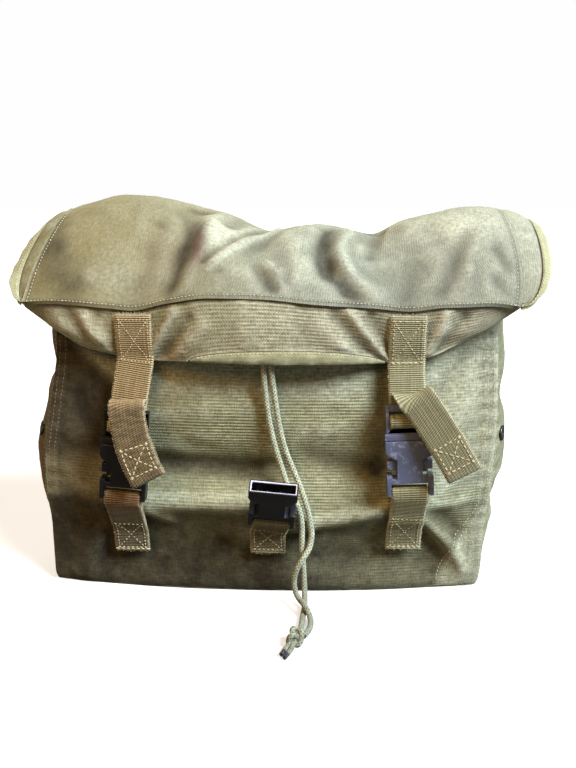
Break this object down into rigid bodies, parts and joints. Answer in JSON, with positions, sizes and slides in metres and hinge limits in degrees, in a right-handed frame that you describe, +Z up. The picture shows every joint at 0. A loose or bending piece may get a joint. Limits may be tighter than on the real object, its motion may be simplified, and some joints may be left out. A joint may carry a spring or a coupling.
{
  "type": "rucksack",
  "caption": "Canvas military rucksack standing upright: domed lid with bound edges, webbing closing straps with side-release buckles, a spare open buckle and a drawcord.",
  "frame": {"origin": "on the floor, under the middle of the bag's box without the drawcord", "axes": "+X to the right as seen from the front, +Y towards the back, +Z up"},
  "size_m": [0.3908, 0.2912, 0.2919],
  "materials": {
    "canvas": "matte woven, worn",
    "binding_tape": "matte woven tape",
    "webbing": "matte ribbed webbing",
    "black_plastic": "satin moulded",
    "eyelet_metal": "blackened and worn",
    "braided_cord": "matte braid",
    "sealed_cord_end": "melted, satin"
  },
  "bodies": {
    "root": {"front_panel": "canvas", "back_panel": "canvas", "side_gusset_left": "canvas", "side_gusset_right": "canvas", "bottom_panel": "canvas", "lid_top": "canvas", "lid_front_flap": "canvas", "lid_end_left": "canvas", "lid_end_right": "canvas", "lid_end_binding_left": "binding_tape", "lid_end_binding_right": "binding_tape", "lid_hem_binding": "binding_tape", "upper_strap_left": "webbing", "upper_strap_right": "webbing", "lower_strap_left": "webbing", "lower_strap_right": "webbing", "lower_strap_centre": "webbing", "shoulder_strap_left": "webbing", "shoulder_strap_right": "webbing", "buckle_male_left": "black_plastic", "buckle_male_right": "black_plastic", "buckle_female_left": "black_plastic", "buckle_female_right": "black_plastic", "buckle_female_centre": "black_plastic", "side_eyelet_left": "eyelet_metal", "side_eyelet_right": "eyelet_metal", "drawcord_eyelet": "eyelet_metal", "drawcord_left": "braided_cord", "drawcord_right": "braided_cord", "drawcord_knot": "braided_cord", "drawcord_tip": "sealed_cord_end"}
  },
  "joints": []
}
